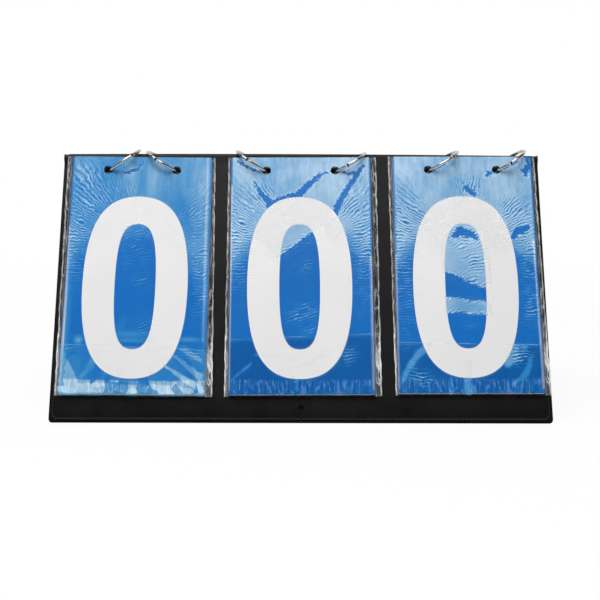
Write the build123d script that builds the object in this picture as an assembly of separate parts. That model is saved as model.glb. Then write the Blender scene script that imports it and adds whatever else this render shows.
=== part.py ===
"""Tabletop flip scoreboard: two vinyl-covered boards that stand as a tent, and three decks of
ten number cards that hang from hinged rings and turn over the top one after another.

Frame: +Z up, the front faces -Y, X runs along the spine. The origin is on the table, under the
middle of the object. All sizes are in millimetres and degrees.
"""
from build123d import *
import os
from math import cos, radians, sin, sqrt

# ---- boards
BOARD_SIDE = 6.55           # board shown beside the outer decks
BOARD_FOOT = 17.9           # board shown under the cards
LEAN = 180.0 / 7            # each board leans this much from the vertical
SKIN = 0.4                  # vinyl sheet
CHIPBOARD = 2.0
WELD = 2.3                  # flat welded rim round each board
SHOULDER = 1.4              # round from the rim up to the face
BOARD_CORNER = 3.0
BOARD_TOP = 3.5             # chipboard starts this far under the fold axis
INNER_TOP = 0.6             # inner skin starts this far under the fold axis
LINING = 0.45               # strip behind the spine
SPINE_RUN = 0.05            # running gap between the lining and the skins that turn on it

# ---- decks of cards
CARDS = 10
CARD_WIDTH = 94.5
CARD_HEIGHT = 163.2
CARD_SHEET = 0.25
CARD_GAP = 0.05
CARD_CORNER = 1.0
CARD_TOP = 1.4              # fold axis to the top edge of a card
DECK_SPACE = 14.2           # board shown between two decks
DECK_GAP = 0.1              # board face to the last card
HOLE_PITCH = 46.5
HOLE_DROP = 9.2             # top edge of a card to its holes
CARD_HOLE = 6.0
NEAR_SHIFT = 0.8            # the outer decks hang this far to the right of their places
MIDDLE_SHIFT = -0.4
RIGHT_RISE = 1.0            # the right deck hangs this much higher
DECK_STEP = CARD_WIDTH + DECK_SPACE
DECKS = {                   # name: (middle of the deck, how much higher it hangs, skew)
    "left": (-DECK_STEP + NEAR_SHIFT, 0, -0.45),
    "middle": (MIDDLE_SHIFT, 0, 0.3),
    "right": (DECK_STEP + NEAR_SHIFT, RIGHT_RISE, 0.2),
}

# ---- clear sleeve and printed numeral of the card that shows
FILM = 0.06
FILM_GAP = 0.04
SLEEVE_SIDE = 2.8
SLEEVE_FOOT = 1.2
SLEEVE_WALL = 0.3
SLEEVE_ROOM = 0.3
INK = 0.05
ZERO_WIDTH = 69.4
ZERO_HEIGHT = 124.8
ZERO_SIDE = 21.2
ZERO_END = 19.5
ZERO_FULLNESS = 0.69        # a round oval is 0.55, a rectangle 1
COUNTER_FULLNESS = 0.75
ZERO_DROP = 28.4            # top edge of the card to the top of the numeral
ZERO_ASIDE = -1.1           # printed a little left of the card's middle

# ---- rings
RING_RADIUS = 13.4          # to the middle of the wire
WIRE = 2.1
RING_DEPTH = 3.6            # the wire crosses the holes this far out from the inner face
BOARD_HOLE = 8.0
RINGS = {                   # name: (deck, side of the deck, leans to, lean, place of its hinge)
    "left_ring_a": ("left", -1, 1, 34.0, 140.0),
    "left_ring_b": ("left", 1, -1, 31.5, 159.0),
    "middle_ring_a": ("middle", -1, -1, 33.0, 162.0),
    "middle_ring_b": ("middle", 1, 1, 30.0, 187.0),
    "right_ring_a": ("right", -1, 1, 31.0, 143.0),
    "right_ring_b": ("right", 1, 1, 33.0, 184.0),
}
EYE_RADIUS = 1.7            # flattened eye where the two halves are hinged
CATCH_RADIUS = 1.45         # flattened ends that snap together
LAP_GAP = 0.1
RIVET = 1.0
RIVET_RUN = 0.05
RIVET_HEAD = 0.95
RIVET_RISE = 0.35

# ---- stay cord
CORD = 1.0
CORD_X = -0.2
CORD_HOLE = 3.4
CORD_UP = 9.75              # bottom edge to the hole
NOTCH = 2.0                 # nick in the rim that the loop sits in
CORD_CLEAR = 0.1
KNOT = 1.3
KNOT_STEP = 2.0             # the knots sit on opposite sides, so they pass when the boards close

# ---- worked out from the values above
BOARD_WIDTH = len(DECKS) * DECK_STEP - DECK_SPACE + 2 * BOARD_SIDE
BOARD_DROP = CARD_TOP + CARD_HEIGHT + BOARD_FOOT    # fold axis to bottom edge, along the inner face
THICK = SKIN + CHIPBOARD + SKIN
SPINE_HEIGHT = BOARD_DROP * cos(radians(LEAN)) - 2 * SKIN * sin(radians(LEAN))
FRONT = Plane(
    origin=(0, 0, SPINE_HEIGHT),
    x_dir=(1, 0, 0),
    z_dir=(0, -cos(radians(LEAN)), sin(radians(LEAN))),
)                           # X along the spine, Y up the front board, Z out of it
PITCH = CARD_SHEET + CARD_GAP
SLEEVE_BACK = THICK + DECK_GAP + (CARDS - 1) * PITCH
ZERO_CARD_BACK = SLEEVE_BACK + FILM + FILM_GAP
SLEEVE_FRONT = ZERO_CARD_BACK + CARD_SHEET + INK + FILM_GAP + FILM
DECK_MIDDLE = (THICK + DECK_GAP + SLEEVE_FRONT) / 2
FLIP_RISE = DECK_MIDDLE / sin(radians(LEAN))    # the cards turn about a line this far over the fold
RING_HOLE_DROP = CARD_TOP + HOLE_DROP
EPS = 0.01


def both_sides():
    return (-1, 1)


def block(x0, x1, y0, y1, z0, z1):
    """A box between two corners."""
    return Pos((x0 + x1) / 2, (y0 + y1) / 2, (z0 + z1) / 2) * Box(x1 - x0, y1 - y0, z1 - z0)


def peg(x, y, diameter, z0, z1):
    """A cylinder along Z."""
    return Pos(x, y, (z0 + z1) / 2) * Cylinder(diameter / 2, z1 - z0)


def save(name, shape):
    """Writes one node."""
    shape.label = name
    export_step(shape, f"parts/{name}.step")


# ---------------------------------------------------------------- boards

def rounded_at_foot(inset, y_top, z0, z1, corner):
    """A board's outline, less an inset, with its two bottom corners round."""
    half = BOARD_WIDTH / 2 - inset
    slab = block(-half, half, -BOARD_DROP + inset, y_top, z0, z1)
    feet = [e for e in slab.edges().filter_by(Axis.Z) if e.center().Y < (y_top - BOARD_DROP) / 2]
    return fillet(feet, corner)


def ring_holes():
    """The places on a board that the rings pass through."""
    for middle, _, _ in DECKS.values():
        for side in both_sides():
            yield middle + side * HOLE_PITCH / 2


def pierced(shape):
    """Cuts the ring holes, the cord's hole and its nick, and levels the bottom edge."""
    for x in ring_holes():
        shape -= peg(x, -RING_HOLE_DROP, BOARD_HOLE, -1, THICK + 1)
    shape -= peg(CORD_X, -BOARD_DROP + CORD_UP, CORD_HOLE, -1, THICK + 1)
    half = CORD / 2 + 2 * CORD_CLEAR
    shape -= block(
        CORD_X - half, CORD_X + half, -BOARD_DROP - 1, -BOARD_DROP + NOTCH, -1, 2 * SKIN + CORD_CLEAR
    )
    table = Box(2 * BOARD_WIDTH, 2 * BOARD_DROP, BOARD_DROP, align=(Align.CENTER, Align.CENTER, Align.MAX))
    return shape - FRONT.location.inverse() * table


def chipboard():
    inset = WELD + SKIN
    slab = rounded_at_foot(inset, -BOARD_TOP, SKIN, SKIN + CHIPBOARD, BOARD_CORNER)
    rim = [e for e in slab.faces().sort_by(Axis.Z)[-1].edges()]
    return fillet(rim, min(SHOULDER - SKIN, 0.45 * CHIPBOARD))


def inner_skin():
    return rounded_at_foot(0, -INNER_TOP, 0, SKIN, BOARD_CORNER)


def spine_sector(outer, wall, sweep):
    """A strip rolled round the fold axis, from the front board's outward side."""
    strip = Plane.XZ * Pos(0, outer - wall / 2) * Rectangle(BOARD_WIDTH, wall)
    return revolve(strip, Axis((0, 0, 0), (-1, 0, 0)), revolution_arc=sweep)


def outer_skin():
    """The face of a board: a flat rim, a round shoulder, and half of the spine."""
    rim = rounded_at_foot(0, -INNER_TOP, SKIN, 2 * SKIN, BOARD_CORNER)
    pillow = rounded_at_foot(WELD, 0, SKIN, THICK, BOARD_CORNER)
    lip = [
        e for e in pillow.faces().sort_by(Axis.Z)[-1].edges()
        if e.center().Y < -EPS
    ]
    pillow = fillet(lip, SHOULDER)
    half = BOARD_WIDTH / 2 - WELD - SKIN
    hollow = block(-half, half, -BOARD_TOP, 1, -1, THICK - SKIN)
    roll = spine_sector(THICK, SKIN, 90 - LEAN)
    return pillow + rim - chipboard() - hollow + roll


def make_boards():
    for name, shape in (
        ("chipboard", chipboard()),
        ("outer_skin", outer_skin()),
        ("inner_skin", inner_skin()),
    ):
        shape = FRONT.location * pierced(shape)
        save(f"front_{name}", shape)
        save(f"back_{name}", mirror(shape, about=Plane.XZ))
    lining = spine_sector(THICK - SKIN - SPINE_RUN, LINING, 180 - 2 * LEAN)
    save("spine_lining", FRONT.location * lining)


# ---------------------------------------------------------------- cards

def hang(deck):
    """Where a deck's top middle is: its cards are drawn hanging down from there."""
    middle, rise, skew = DECKS[deck]
    return FRONT.location * Pos(middle, rise - CARD_TOP, 0) * Rot(0, 0, skew)


def holed(sheet, z0, z1):
    for side in both_sides():
        sheet -= peg(side * HOLE_PITCH / 2, -HOLE_DROP, CARD_HOLE, z0 - 1, z1 + 1)
    return sheet


def card(z0):
    sheet = block(-CARD_WIDTH / 2, CARD_WIDTH / 2, -CARD_HEIGHT, 0, z0, z0 + CARD_SHEET)
    sheet = fillet(sheet.edges().filter_by(Axis.Z), CARD_CORNER)
    return holed(sheet, z0, z0 + CARD_SHEET)


def oval(width, height, fullness):
    """The face of an upright oval, centred: four quarter curves, squarer the fuller they are."""
    w, h = width / 2, height / 2
    top_right = Bezier((w, 0), (w, h * fullness), (w * fullness, h), (0, h))
    upper = [top_right, mirror(top_right, about=Plane.YZ)]
    outline = upper + [mirror(curve, about=Plane.XZ) for curve in upper]
    return make_face(Wire.combine(outline, tol=1e-4)[0])


def zero():
    """The printed numeral of the card that shows."""
    ring = oval(ZERO_WIDTH, ZERO_HEIGHT, ZERO_FULLNESS)
    ring -= oval(ZERO_WIDTH - 2 * ZERO_SIDE, ZERO_HEIGHT - 2 * ZERO_END, COUNTER_FULLNESS)
    z0 = ZERO_CARD_BACK + CARD_SHEET
    return Pos(ZERO_ASIDE, -ZERO_DROP - ZERO_HEIGHT / 2, z0) * extrude(ring, amount=INK, dir=(0, 0, 1))


def sleeve():
    """A clear bag round the front card, open at the top, with welded side seams."""
    half = CARD_WIDTH / 2 + SLEEVE_ROOM
    wall = half + SLEEVE_WALL
    low = -CARD_HEIGHT - SLEEVE_ROOM
    bag = block(-wall, wall, low - SLEEVE_WALL, 0, SLEEVE_BACK, SLEEVE_FRONT)
    seam = CARD_WIDTH / 2 + SLEEVE_SIDE
    bag += block(-seam, seam, -CARD_HEIGHT - SLEEVE_FOOT, 0, SLEEVE_BACK, SLEEVE_BACK + 2 * FILM)
    bag -= block(-half, half, low, 1, SLEEVE_BACK + FILM, SLEEVE_FRONT - FILM)
    return holed(bag, SLEEVE_BACK, SLEEVE_FRONT)


def make_decks():
    for deck in DECKS:
        place = hang(deck)
        save(f"{deck}_card_0", place * card(ZERO_CARD_BACK))
        save(f"{deck}_zero", place * zero())
        save(f"{deck}_sleeve", place * sleeve())
        for number in range(1, CARDS):
            back = THICK + DECK_GAP + (CARDS - 1 - number) * PITCH
            save(f"{deck}_card_{number}", place * card(back))


# ---------------------------------------------------------------- rings

def ring_plane(name):
    """A ring's own plane: X to the back, Y from its holes towards its far side."""
    deck, side, to, lean, _ = RINGS[name]
    middle, rise, _ = DECKS[deck]
    start = FRONT.location * Pos(middle + side * HOLE_PITCH / 2, rise - RING_HOLE_DROP, RING_DEPTH)
    x, y, z = start.position
    plane = Plane(
        origin=(x, 0, z), x_dir=(0, 1, 0), z_dir=(sin(radians(lean)), 0, -to * cos(radians(lean)))
    )
    return plane, -y


def half_ring(start):
    """Half of a ring's wire, from this angle on, about the ring's own middle."""
    section = Plane.XZ * Pos(RING_RADIUS, 0) * Circle(WIRE / 2)
    return Rot(0, 0, start) * revolve(section, Axis.Z, revolution_arc=180)


def lap(shape, angle, radius, up):
    """Flattens a wire's end to half its thickness, with a round eye, above or below the middle."""
    here = Rot(0, 0, angle) * Pos(RING_RADIUS, 0, 0)
    low, high = (LAP_GAP / 2, WIRE / 2) if up else (-WIRE / 2, -LAP_GAP / 2)
    gone = (-WIRE, LAP_GAP / 2) if up else (-LAP_GAP / 2, WIRE)
    shape -= here * peg(0, 0, 2 * radius + 2 * LAP_GAP, *gone)
    return shape + here * peg(0, 0, 2 * radius, low, high)


def make_rings():
    for name, (_, _, _, _, hinge) in RINGS.items():
        plane, reach = ring_plane(name)
        middle = plane.location * Pos(0, sqrt(RING_RADIUS**2 - reach**2), 0)
        pivot = Rot(0, 0, hinge) * Pos(RING_RADIUS, 0, 0)
        frame = lap(lap(half_ring(hinge), hinge, EYE_RADIUS, False), hinge + 180, CATCH_RADIUS, False)
        frame += pivot * peg(0, 0, RIVET, -LAP_GAP, WIRE / 2 + LAP_GAP / 2 + RIVET_RISE)
        frame += pivot * peg(0, 0, 2 * RIVET_HEAD, WIRE / 2 + LAP_GAP / 2, WIRE / 2 + RIVET_RISE)
        gate = lap(lap(half_ring(hinge - 180), hinge, EYE_RADIUS, True), hinge - 180, CATCH_RADIUS, True)
        gate -= pivot * peg(0, 0, RIVET + 2 * RIVET_RUN, 0, WIRE)
        save(f"{name}_frame", middle * frame)
        save(f"{name}_gate", middle * gate)


# ---------------------------------------------------------------- stay cord

def cord_loop():
    """The cord through a board's hole and round its bottom edge, with its knot inside."""
    inside = -CORD / 2 - CORD_CLEAR
    outside = THICK + CORD / 2 + CORD_CLEAR
    hole = -BOARD_DROP + CORD_UP
    foot = -BOARD_DROP + NOTCH - CORD / 2 - CORD_CLEAR
    knot = (hole + foot) / 2
    corners = [
        (inside, knot + CORD / 4), (inside, hole), (outside, hole), (outside, foot + WELD / 2),
        (SHOULDER, foot), (inside, foot), (inside, knot - CORD / 4),
    ]
    points = [(CORD_X, y, z) for z, y in corners]
    path = FilletPolyline(*points, radius=0.55 * CORD)
    start = Plane(origin=path @ 0, z_dir=path % 0)
    loop = sweep(start * Circle(CORD / 2), path=path)
    return loop + Pos(CORD_X - KNOT_STEP + CORD / 2, knot, -KNOT - CORD_CLEAR) * Sphere(KNOT)


def make_cord():
    loop = FRONT.location * cord_loop()
    save("front_cord_loop", loop)
    save("back_cord_loop", Rot(0, 0, 180) * Pos(-2 * CORD_X, 0, 0) * loop)
    knot = -BOARD_DROP + (CORD_UP + NOTCH - CORD / 2 - CORD_CLEAR) / 2
    near = (FRONT.location * Pos(CORD_X - KNOT_STEP + CORD / 2, knot, -KNOT - CORD_CLEAR)).position
    far = Vector(2 * CORD_X - near.X, -near.Y, near.Z)
    run = (far - near).normalized()
    span = (far - near).length - 2 * (KNOT + CORD_CLEAR)
    stay = Plane(origin=near + run * (KNOT + CORD_CLEAR), z_dir=run).location
    save("stay_cord", stay * peg(0, 0, CORD, 0, span))


os.makedirs("parts", exist_ok=True)
make_boards()
make_decks()
make_rings()
make_cord()
print("spine height", round(SPINE_HEIGHT, 3), "flip axis", round(SPINE_HEIGHT + FLIP_RISE, 3))
print("deck from", round(THICK + DECK_GAP, 3), "to", round(SLEEVE_FRONT, 3))
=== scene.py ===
"""Tabletop flip scoreboard: its vinyl cover, printed numerals, clear sleeves, cord, materials, light
and camera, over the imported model.

Everything is in metres in the model's own frame: +Z up, the front faces -Y. Shapes are drawn in
millimetres in the plane of a board or a card, and scaled when they become meshes.
"""

from functools import partial
from math import cos, pi, radians, sin

import bmesh
import bpy
import numpy as np
from mathutils import Euler, Matrix, Vector


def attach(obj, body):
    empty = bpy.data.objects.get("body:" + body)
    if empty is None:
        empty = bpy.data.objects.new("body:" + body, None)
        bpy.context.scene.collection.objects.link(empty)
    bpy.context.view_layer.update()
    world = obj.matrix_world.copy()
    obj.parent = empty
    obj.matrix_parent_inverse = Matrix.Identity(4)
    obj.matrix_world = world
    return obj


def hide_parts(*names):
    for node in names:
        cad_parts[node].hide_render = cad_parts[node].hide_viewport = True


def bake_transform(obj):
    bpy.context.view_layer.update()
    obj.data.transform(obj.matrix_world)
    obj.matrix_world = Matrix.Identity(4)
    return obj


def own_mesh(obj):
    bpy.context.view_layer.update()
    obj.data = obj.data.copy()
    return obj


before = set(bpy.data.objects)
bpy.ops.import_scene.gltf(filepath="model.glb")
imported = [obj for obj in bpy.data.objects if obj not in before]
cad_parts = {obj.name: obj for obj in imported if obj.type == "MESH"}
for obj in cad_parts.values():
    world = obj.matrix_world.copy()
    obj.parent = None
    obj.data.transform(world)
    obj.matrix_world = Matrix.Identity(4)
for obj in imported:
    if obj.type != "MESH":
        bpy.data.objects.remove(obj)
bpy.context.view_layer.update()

MM = 0.001

# ---- the boards, in millimetres
LEAN = radians(180 / 7)         # each board leans this much from the vertical
BOARD_WIDTH = 325.0
BOARD_DROP = 182.5              # fold axis to the bottom edge, along the inner face
SKIN = 0.4
THICK = 2.8
WELD = 2.3                      # flat welded rim
SHOULDER = 2.2                  # the vinyl rounds up from the rim over this width
CORNER = 3.0
SPINE_HEIGHT = BOARD_DROP * cos(LEAN) - 2 * SKIN * sin(LEAN)
RING_HOLE_DROP = 10.6
BOARD_HOLE = 7.9
CORD_X = -0.2
CORD_UP = 9.75
CORD_HOLE = 3.0
CORD = 1.0
EYELET_UP = 1.4                 # bottom edge to the cord's way through the rim
KNOT_STEP = 1.5                 # the knots sit on opposite sides of the cord
KNOT_OUT = -1.4

# ---- the decks
CARD_WIDTH = 94.5
CARD_HEIGHT = 163.2
CARD_TOP = 1.4
CARD_SHEET = 0.25
CARDS = 10
HOLE_PITCH = 46.5
HOLE_DROP = 9.2
DECKS = {                       # middle, how much higher it hangs, skew in degrees
    "left": (-107.9, 0.0, -0.45),
    "middle": (-0.4, 0.0, 0.3),
    "right": (109.5, 1.0, 0.2),
}
FIRST_BACK = 2.9                # board's inner face to the back of the last card
PITCH = 0.30                    # from a card to the next
NUMERAL_WIDTH = 69.4
NUMERAL_HEIGHT = 124.8
NUMERAL_DROP = 28.4
NUMERAL_ASIDE = -1.1            # printed a little left of the card's middle
STROKE = 21.2                   # upright strokes
BAR = 19.5                      # strokes across
INK_HALF = 0.02                 # half the ink's thickness
INK_UP = 0.021                  # the card's face to the ink's middle


# ======== frames

def board_frame(side):
    """The plane of a board: X along the spine, Y up the board, Z out of it. side is -1 for the
    front board and 1 for the back one."""
    across = Vector((1, 0, 0))
    up = Vector((0, -side * sin(LEAN), cos(LEAN)))
    out = Vector((0, side * cos(LEAN), sin(LEAN)))
    turn = Matrix((across, up, out)).transposed().to_4x4()
    return Matrix.Translation((0, 0, SPINE_HEIGHT * MM)) @ turn @ Matrix.Scale(MM, 4)


def card_frame(deck):
    """The plane of a deck: its origin is the middle of the cards' top edge."""
    middle, rise, skew = DECKS[deck]
    place = Matrix.Translation((middle, rise - CARD_TOP, 0)) @ Matrix.Rotation(radians(skew), 4, "Z")
    return board_frame(-1) @ place


def placed(points, matrix):
    """Points of any array shape, taken through a matrix."""
    m = np.array(matrix)
    return points @ m[:3, :3].T + m[:3, 3]


# ======== meshes

def new_object(name, data):
    made = bpy.data.objects.new(name, data)
    bpy.context.scene.collection.objects.link(made)
    return made


def mesh_piece(name, points, faces, material, smooth=True):
    mesh = bpy.data.meshes.new(name)
    mesh.from_pydata([tuple(p) for p in points], [], faces)
    mesh.update()
    if smooth:
        mesh.shade_smooth()
    mesh.materials.append(material)
    return new_object(name, mesh)


def curve_mesh(curve):
    drawn = new_object(curve.name, curve)
    mesh = bpy.data.meshes.new_from_object(drawn)
    bpy.data.objects.remove(drawn)
    return mesh


def put(piece, matrix):
    """Places a piece that was drawn in millimetres, so that its own coordinates become metres."""
    piece.matrix_world = matrix @ Matrix.Scale(1 / MM, 4)


def grid_faces(rows, columns, first=0):
    """Quads of a grid of points that is stored row after row."""
    at = np.arange(rows * columns).reshape(rows, columns) + first
    quads = np.stack([at[:-1, :-1], at[:-1, 1:], at[1:, 1:], at[1:, :-1]], axis=-1)
    return quads.reshape(-1, 4).tolist()


def merge_near(mesh, distance):
    work = bmesh.new()
    work.from_mesh(mesh)
    bmesh.ops.remove_doubles(work, verts=work.verts, dist=distance)
    bmesh.ops.recalc_face_normals(work, faces=work.faces)
    work.to_mesh(mesh)
    work.free()


def point_values(mesh, name, values):
    """Keeps one number per point, for a material to read."""
    attribute = mesh.attributes.new(name, "FLOAT", "POINT")
    attribute.data.foreach_set("value", np.ascontiguousarray(values, np.float32).ravel())


def smoothstep(low, high, x):
    t = np.clip((x - low) / (high - low), 0, 1)
    return t * t * (3 - 2 * t)


def waves(x, y, size, seed):
    """Smooth uneven waves about this size, between about -1 and 1."""
    turn = np.random.default_rng(seed)
    total = 0
    for _ in range(7):
        angle = turn.uniform(0, 2 * pi)
        stretch = turn.uniform(0.6, 1.6)
        phase = turn.uniform(0, 2 * pi)
        total = total + np.sin(2 * pi * stretch * (x * cos(angle) + y * sin(angle)) / size + phase)
    return total / 4


# ======== materials

class Nodes:
    """A node tree, and short ways to add nodes to it."""

    def __init__(self, tree):
        self.tree = tree

    def add(self, kind, inputs=(), **settings):
        node = self.tree.nodes.new("ShaderNode" + kind)
        for key, value in settings.items():
            setattr(node, key, value)
        for socket, value in dict(inputs).items():
            self.join(value, node.inputs[socket])
        return node

    def join(self, value, socket):
        if isinstance(value, bpy.types.NodeSocket):
            self.tree.links.new(value, socket)
        else:
            socket.default_value = value

    def spot(self):
        return self.add("TexCoord").outputs["Object"]

    def noise(self, scale, detail=3.0, where=None, rough=0.5):
        values = {"Vector": where or self.spot(), "Scale": scale, "Detail": detail, "Roughness": rough}
        return self.add("TexNoise", values).outputs["Fac"]

    def math(self, operation, a, b=0.0, c=0.0, clamp=False):
        node = self.add("Math", {0: a, 1: b, 2: c}, operation=operation, use_clamp=clamp)
        return node.outputs[0]

    def plus(self, a, b, clamp=False):
        return self.math("ADD", a, b, clamp=clamp)

    def minus(self, a, b):
        return self.math("SUBTRACT", a, b)

    def times(self, a, b, clamp=False):
        return self.math("MULTIPLY", a, b, clamp=clamp)

    def larger(self, a, b):
        return self.math("MAXIMUM", a, b)

    def ramp(self, value, low, high, to_low=0.0, to_high=1.0):
        values = {"Value": value, "From Min": low, "From Max": high, "To Min": to_low, "To Max": to_high}
        return self.add("MapRange", values, clamp=True).outputs["Result"]

    def mix(self, share, a, b):
        node = self.add("Mix", data_type="RGBA")
        self.join(share, node.inputs["Factor"])
        self.join(a, node.inputs[6])
        self.join(b, node.inputs[7])
        return node.outputs[2]

    def dot(self, a, b):
        return self.add("VectorMath", {0: a, 1: b}, operation="DOT_PRODUCT").outputs["Value"]

    def cells(self, where, scale=1.0):
        return self.add("TexVoronoi", {"Vector": where, "Scale": scale}).outputs["Color"]

    def stretched(self, x, y, z=1.0):
        return self.add("Mapping", {"Vector": self.spot(), "Scale": (x, y, z)}).outputs["Vector"]

    def bump(self, height, distance, strength=1.0, under=None):
        values = {"Height": height, "Distance": distance, "Strength": strength}
        if under:
            values["Normal"] = under
        return self.add("Bump", values).outputs["Normal"]

    def value(self, name):
        """The piece's own number of that name at each point."""
        return self.add("Attribute", attribute_name=name).outputs["Fac"]


class Look(Nodes):
    """A material with a Principled shader."""

    def __init__(self, name, **values):
        self.material = bpy.data.materials.new(name)
        self.material.use_nodes = True
        super().__init__(self.material.node_tree)
        self.shader = self.tree.nodes["Principled BSDF"]
        for socket, value in values.items():
            self.shader.inputs[socket.replace("_", " ")].default_value = value

    def set(self, socket, value):
        self.join(value, self.shader.inputs[socket])

    def cloudy(self, share, dark, light):
        """Sets a colour that drifts between two."""
        self.set("Base Color", self.mix(share, (*dark, 1), (*light, 1)))


def vinyl():
    """Black sheet with a fine pressed grain, smoother towards the foot, where hands polish it."""
    tint = (0.0046, 0.0046, 0.0048)
    roughness = 0.44
    m = Look("black_vinyl", Roughness=roughness, Specular_IOR_Level=0.17)
    grain = m.add("TexVoronoi", {"Vector": m.spot(), "Scale": 2100.0}, feature="SMOOTH_F1")
    pores = m.noise(5200.0, 2.0)
    m.cloudy(m.ramp(m.noise(26.0, 4.0), 0.3, 0.75), tint, [1.7 * c for c in tint])
    height = m.add("SeparateXYZ", {0: m.spot()}).outputs["Z"]
    worn = m.ramp(height, 0.003, 0.02, 0.6, 1.0)
    uneven = m.ramp(m.noise(70.0, 5.0), 0.3, 0.7, roughness - 0.07, roughness + 0.09)
    m.set("Roughness", m.times(uneven, worn))
    fine = m.bump(m.plus(grain.outputs["Distance"], m.times(pores, 0.3)), 0.00005, 0.55)
    m.set("Normal", m.bump(m.noise(230.0, 3.0), 0.00012, 0.25, fine))
    return m.material


def printed_card():
    """Blue gloss print on both faces, white paper along the cut edges, and painted shade that makes the
    walls of the ring holes near black.
    """
    m = Look("blue_print", Roughness=0.3, Specular_IOR_Level=0.2)
    out_of_board = (0, -cos(LEAN), sin(LEAN))
    up_board = (0, sin(LEAN), cos(LEAN))
    normal = m.add("TexCoord").outputs["Normal"]
    face = m.ramp(m.math("ABSOLUTE", m.dot(normal, out_of_board)), 0.6, 0.8)
    blue = m.mix(m.ramp(m.noise(14.0, 4.0), 0.3, 0.7), (0.002, 0.134, 0.48, 1), (0.003, 0.152, 0.53, 1))
    # Painted shade: inside the ring holes the cut edges are coloured near black, as the shade there would
    # leave them.
    hole_height = (SPINE_HEIGHT * cos(LEAN) - CARD_TOP - HOLE_DROP) * MM
    in_row = m.math("COMPARE", m.dot(m.spot(), up_board), hole_height, 0.0042)
    half_step = 0.054           # the decks stand about twice this far apart
    aside = m.math("WRAP", m.add("SeparateXYZ", {0: m.spot()}).outputs["X"], half_step, -half_step)
    hole_shade = m.times(in_row, m.math("LESS_THAN", m.math("ABSOLUTE", aside), 0.04))
    paper_and_hole_shade = m.mix(hole_shade, (0.80, 0.79, 0.76, 1), (0.035, 0.034, 0.033, 1))
    m.set("Base Color", m.mix(face, paper_and_hole_shade, blue))
    m.set("Roughness", m.ramp(m.noise(90.0, 3.0), 0.3, 0.7, 0.30, 0.36))
    m.set("Normal", m.bump(m.noise(1400.0, 2.0), 0.00001, 0.15))
    return m.material


def white_ink():
    m = Look("white_ink", Roughness=0.38)
    m.cloudy(m.ramp(m.noise(20.0, 4.0), 0.3, 0.7), (0.80, 0.79, 0.79), (0.83, 0.82, 0.82))
    m.set("Roughness", m.ramp(m.noise(120.0, 3.0), 0.3, 0.7, 0.32, 0.44))
    m.set("Normal", m.bump(m.noise(900.0, 2.0), 0.00002, 0.3))
    return m.material


def nickel():
    """Bright plated steel wire with fine drawing marks and dull spots."""
    m = Look("nickel", Metallic=1.0)
    m.cloudy(m.ramp(m.noise(160.0, 3.0), 0.35, 0.7), (0.40, 0.39, 0.375), (0.58, 0.57, 0.555))
    m.set("Roughness", m.ramp(m.noise(420.0, 4.0), 0.3, 0.75, 0.05, 0.13))
    m.set("Normal", m.bump(m.noise(700.0, 3.0), 0.00004, 0.3))
    return m.material


def chipboard():
    m = Look("grey_chipboard", Roughness=0.85)
    m.cloudy(m.ramp(m.cells(m.spot(), 900.0), 0.2, 0.9), (0.20, 0.18, 0.155), (0.31, 0.285, 0.25))
    m.set("Normal", m.bump(m.noise(1600.0, 3.0), 0.0001, 0.5))
    return m.material


def cord_yarn():
    m = Look("black_cord", Roughness=0.75, Specular_IOR_Level=0.1)
    m.cloudy(m.ramp(m.noise(900.0, 3.0), 0.3, 0.7), (0.004, 0.004, 0.0045), (0.015, 0.015, 0.016))
    m.set("Normal", m.bump(m.noise(4200.0, 2.0), 0.00008, 0.6))
    return m.material


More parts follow.
